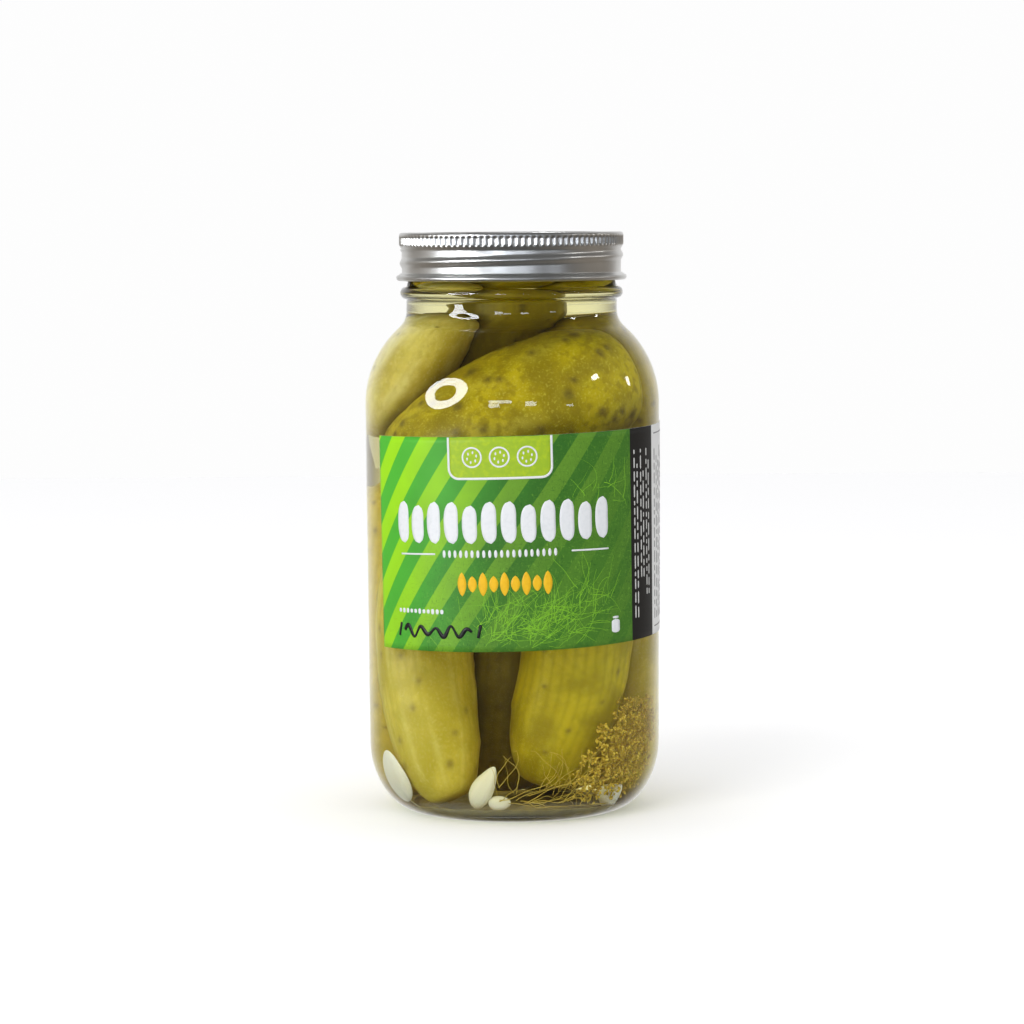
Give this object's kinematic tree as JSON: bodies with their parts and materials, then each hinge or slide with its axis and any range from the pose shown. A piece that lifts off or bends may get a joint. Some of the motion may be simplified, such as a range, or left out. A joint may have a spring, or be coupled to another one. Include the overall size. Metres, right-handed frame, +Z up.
{
  "type": "jar of dill pickles",
  "caption": "Round glass preserving jar with a two-piece screw lid and a wrapped paper label, packed with whole dill pickles, garlic and a dill head.",
  "frame": {"origin": "middle of the jar's base, on the surface it stands on", "axes": "+Z up along the jar's axis, the label's front faces -Y"},
  "size_m": [0.0978, 0.0978, 0.1908],
  "materials": {
    "glass": "clear pressed glass, glossy",
    "brine": "clear yellow-green brine",
    "tinplate": "bright drawn tinplate, satin along the turns",
    "lid": "bright pressed tinplate",
    "label": "coated paper, semi-gloss, printed in greens",
    "pickle": "wet yellow-olive skin with dark warts and pale ribs",
    "garlic": "wet ivory clove",
    "dill": "soaked ochre seeds and stalks"
  },
  "bodies": {
    "root": {"glass_jar": "glass", "screw_band": "tinplate", "lid_disc": "lid", "label": "label", "pickles": "pickle", "garlic_left": "garlic", "garlic_middle": "garlic", "garlic_slice": "garlic", "garlic_right": "garlic", "dill_head": "dill"}
  },
  "joints": []
}
